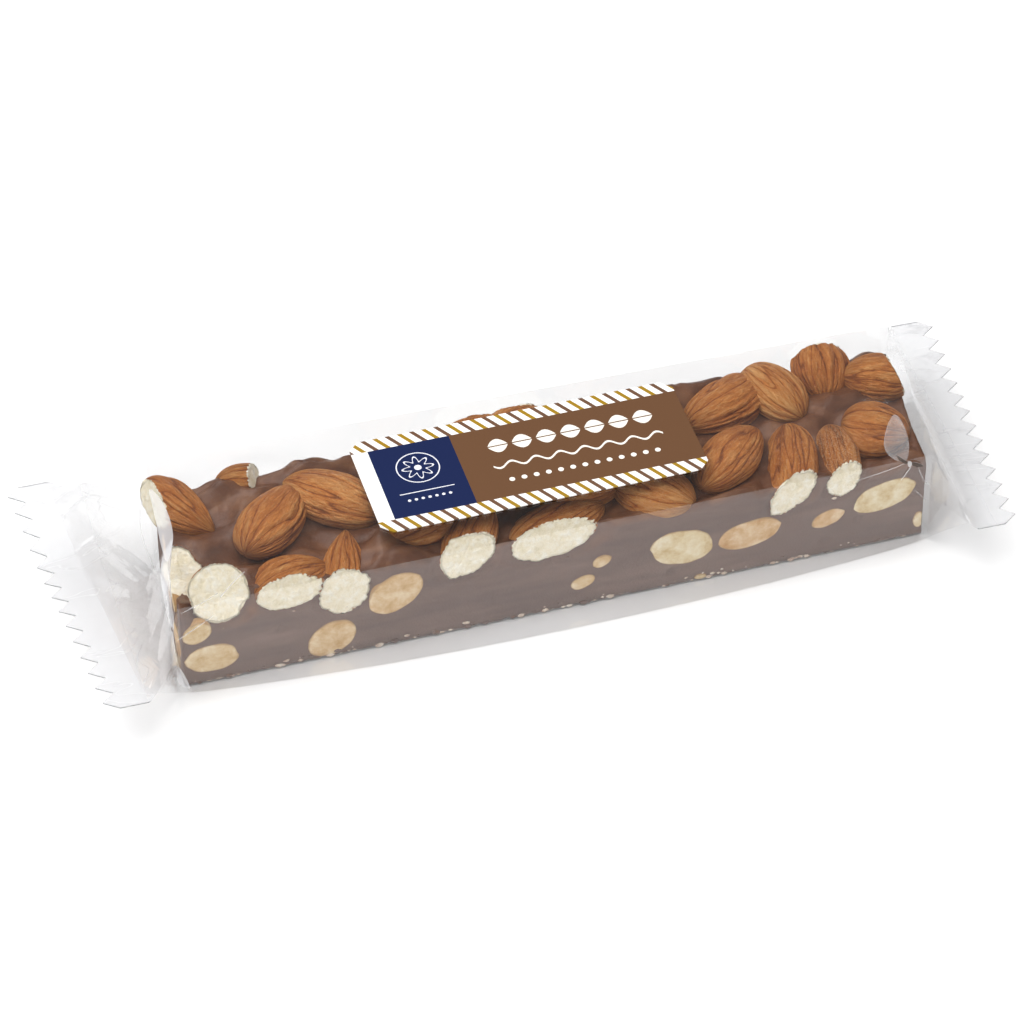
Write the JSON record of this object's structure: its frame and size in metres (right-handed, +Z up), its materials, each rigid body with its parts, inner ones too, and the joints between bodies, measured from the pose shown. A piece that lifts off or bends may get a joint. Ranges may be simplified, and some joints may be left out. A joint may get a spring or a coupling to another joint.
{
  "type": "wrapped nougat bar",
  "caption": "Chocolate and almond nougat bar sealed in clear flow-wrap film with crimped zigzag end fins and a paper label on top.",
  "frame": {"origin": "middle of the pack's bounding box at the flat base it stands on", "axes": "+X along the bar towards the end with the shorter fin, +Y towards the back, +Z up through the label; the smooth knife cut faces -Y"},
  "size_m": [0.211, 0.0676, 0.0288],
  "materials": {
    "clear_film": "clear glossy polypropylene film, thin enough to see the bar through, with heat-sealed ends",
    "label_paper": "coated paper with a satin sheen, printed in brown, navy, gold and white",
    "milk_chocolate": "milk chocolate nougat, satin on top and dull where cut",
    "almond_skin": "brown wrinkled almond skin",
    "almond_kernel": "pale cut almond flesh"
  },
  "bodies": {
    "root": {"wrapper": "clear_film", "label": "label_paper"}
  },
  "joints": []
}
